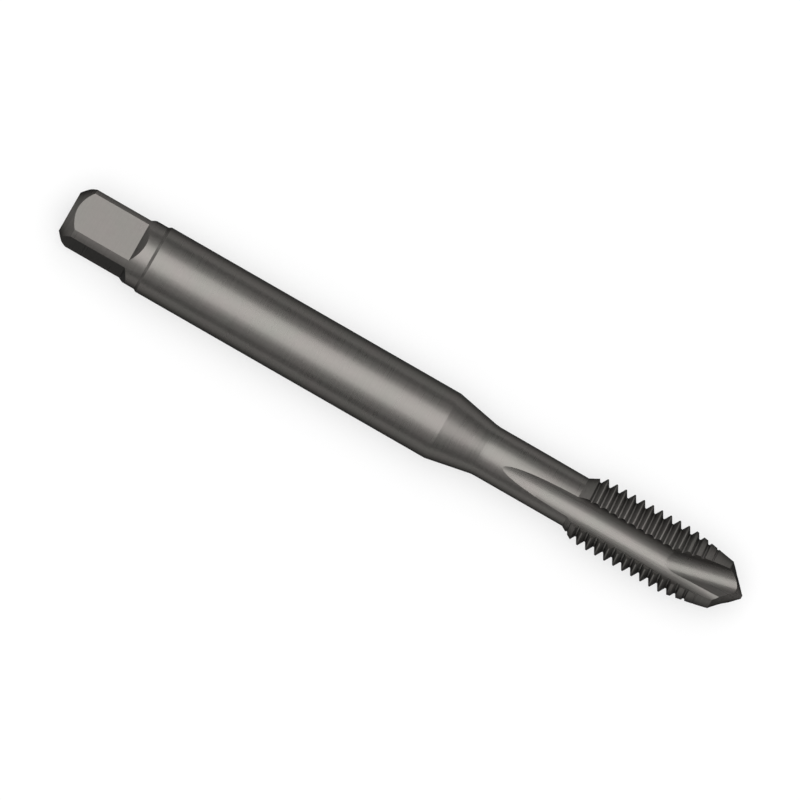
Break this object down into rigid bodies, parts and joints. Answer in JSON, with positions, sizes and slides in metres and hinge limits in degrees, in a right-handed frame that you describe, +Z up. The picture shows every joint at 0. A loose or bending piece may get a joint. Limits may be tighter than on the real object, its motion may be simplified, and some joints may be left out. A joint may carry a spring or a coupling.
{
  "type": "thread tap",
  "caption": "Spiral point machine tap: a round shank with a square drive end, a waisted neck and a fluted cutting thread with a pointed nose.",
  "frame": {"origin": "under the middle of the tap, on the surface that it lies on", "axes": "+X along the tap's axis, from the drive end to the pointed tip; +Z up, as the tap lies on its shank; +Y across it"},
  "size_m": [0.0676, 0.0064, 0.0065],
  "materials": {
    "tool_steel": "ground high speed steel, warm dark grey with a soft satin sheen"
  },
  "bodies": {
    "root": {"tap": "tool_steel"}
  },
  "joints": []
}
